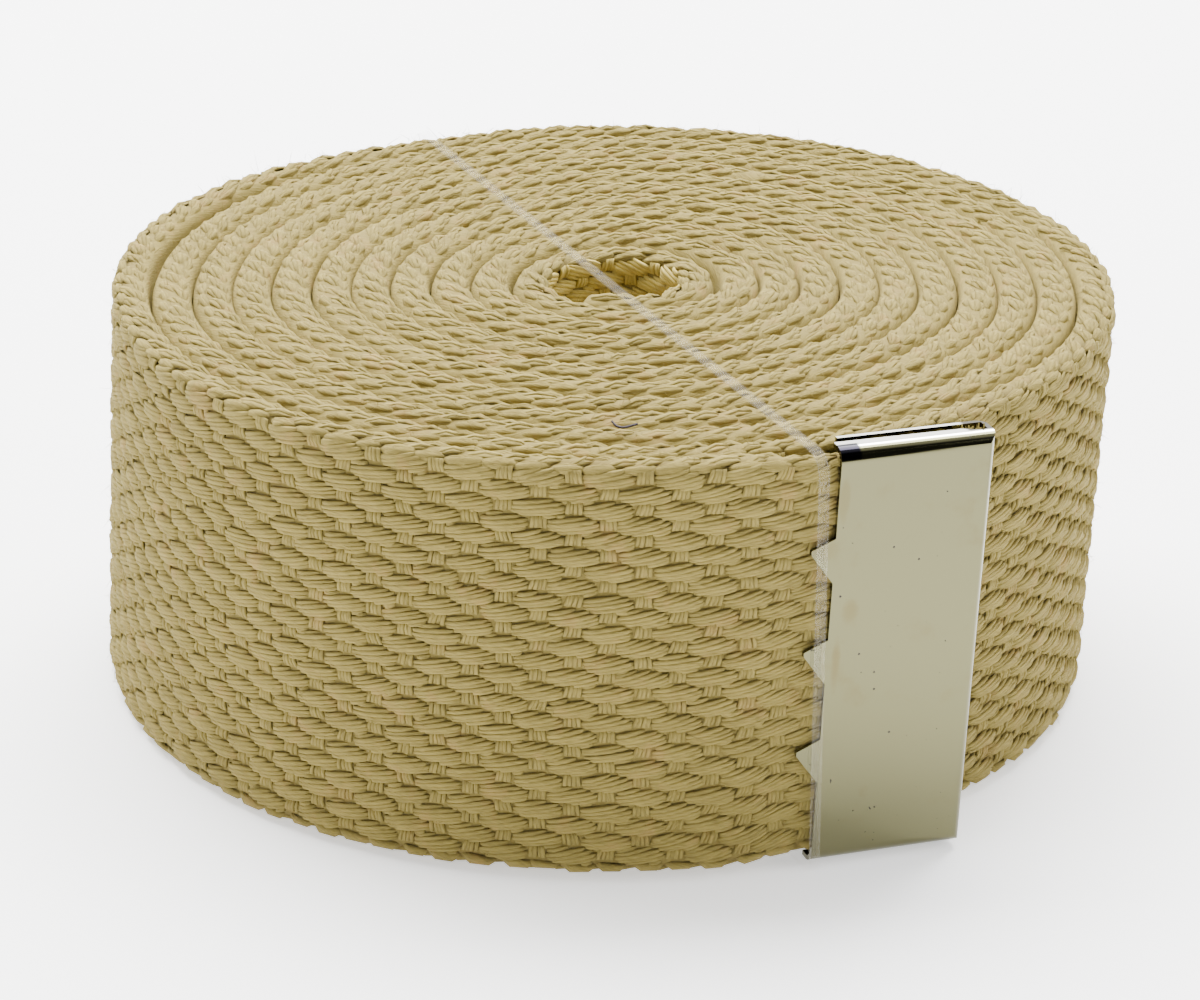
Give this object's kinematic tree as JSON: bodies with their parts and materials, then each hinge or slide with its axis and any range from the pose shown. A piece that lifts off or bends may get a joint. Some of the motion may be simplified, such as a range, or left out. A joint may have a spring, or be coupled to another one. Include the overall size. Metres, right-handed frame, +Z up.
{
  "type": "rolled canvas web belt with a clear holding band",
  "caption": "Heavy cotton web belt wound flat into a roll, with a folded metal tip on its outer end and a clear band that keeps it wound.",
  "frame": {"origin": "on the surface that the roll stands on, under the middle of its outline", "axes": "+Z up, along the width of the web; the metal tip's front plate faces -Y and a little towards +X"},
  "size_m": [0.0784, 0.0784, 0.0325],
  "materials": {
    "cotton_web": "coarse matte cotton weave",
    "nickelled_sheet": "polished warm nickel with faint wear",
    "clear_film": "clear glossy film"
  },
  "bodies": {
    "root": {"webbing": "cotton_web", "metal_tip": "nickelled_sheet", "clear_band": "clear_film"}
  },
  "joints": []
}
